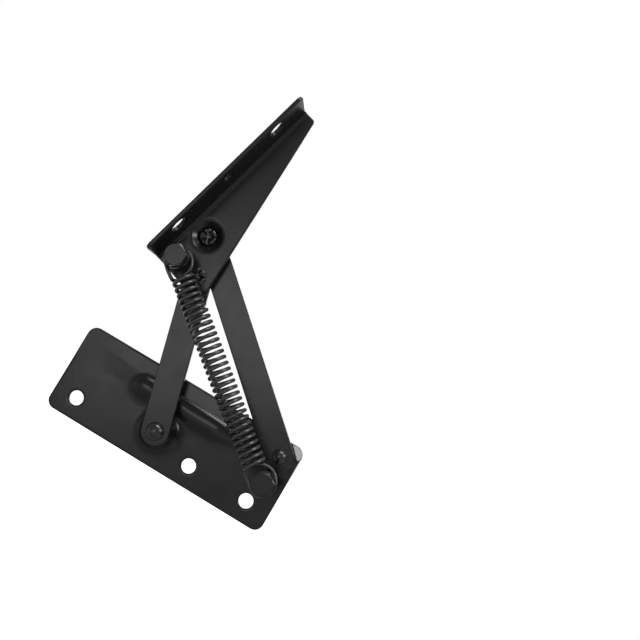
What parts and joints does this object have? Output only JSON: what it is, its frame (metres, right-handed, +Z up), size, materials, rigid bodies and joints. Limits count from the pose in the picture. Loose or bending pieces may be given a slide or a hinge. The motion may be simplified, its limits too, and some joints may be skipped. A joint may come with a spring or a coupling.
{
  "type": "sofa armrest hinge",
  "caption": "Spring-loaded folding hinge for a sofa armrest: ribbed base plate, two links, tapering flanged bracket and a tension spring between hex bolts.",
  "frame": {"origin": "axis of the base plate's middle screw hole, at the plate's flat back face", "axes": "+Z up with the base plate's long side level, +Y into the furniture side behind the plate, +X along the plate towards the pair of screw holes that are 32 mm apart"},
  "size_m": [0.1206, 0.0326, 0.1852],
  "materials": {
    "black_paint": "satin powder coat on pressed steel sheet",
    "black_rivet": "semi-gloss black",
    "black_washer": "satin black",
    "black_fastener": "black oxide",
    "spring_wire": "black, semi-gloss"
  },
  "bodies": {
    "base": {"base_plate": "black_paint", "short_link_base_rivet": "black_rivet", "long_link_base_rivet": "black_rivet", "short_link_base_washer": "black_washer", "long_link_base_washer": "black_washer", "lower_spring_bolt": "black_fastener", "lower_bolt_washer": "black_fastener"},
    "short_link_body": {"short_link": "black_paint", "short_link_top_rivet": "black_rivet", "short_link_top_washer": "black_washer"},
    "long_link_body": {"long_link": "black_paint", "long_link_top_washer": "black_washer", "long_link_top_rivet_tail": "black_rivet"},
    "bracket_body": {"armrest_bracket": "black_paint", "long_link_top_rivet": "black_rivet", "upper_spring_bolt": "black_fastener", "upper_bolt_washer": "black_fastener", "upper_spring_sleeve": "black_fastener"},
    "spring_anchor": {"lower_spring_sleeve": "black_fastener"},
    "spring": {"tension_spring": "spring_wire"}
  },
  "joints": [
    {"name": "short_pivot", "type": "hinge", "parent": "base", "child": "short_link_body", "pos_m": [-0.0207, -0.0086, 0.0071], "axis": [0, -1, 0], "range_deg": [0, 51.1], "stiffness_Nm_per_rad": 0.76, "springref_deg": -24.06},
    {"name": "bracket_pivot", "type": "hinge", "parent": "short_link_body", "child": "bracket_body", "pos_m": [-0.0411, -0.0116, 0.0793], "axis": [0, -1, 0], "range_deg": [-126.6, 0.2]},
    {"name": "long_pivot", "type": "hinge", "parent": "base", "child": "long_link_body", "pos_m": [0.0356, -0.0056, 0.0264], "axis": [0, -1, 0], "range_deg": [-0.1, 30.3]},
    {"name": "spring_turn", "type": "hinge", "parent": "base", "child": "spring_anchor", "pos_m": [0.0362, -0.0216, 0.0138], "axis": [0, -1, 0], "range_deg": [-0.1, 23.1]},
    {"name": "spring_stretch", "type": "slide", "parent": "spring_anchor", "child": "spring", "axis": [-0.7883, 0, 0.6152], "range_m": [-0.0001, 0.0187], "deforming": ["tension_spring"]}
  ],
  "couplings": [
    {"joint": "bracket_pivot", "follows": "short_pivot", "ratio": -2.4725},
    {"joint": "long_pivot", "follows": "short_pivot", "ratio": 0.5886},
    {"joint": "spring_turn", "follows": "short_pivot", "ratio": 0.44834},
    {"joint": "spring_stretch", "follows": "short_pivot", "m_per_rad": 0.020803}
  ]
}
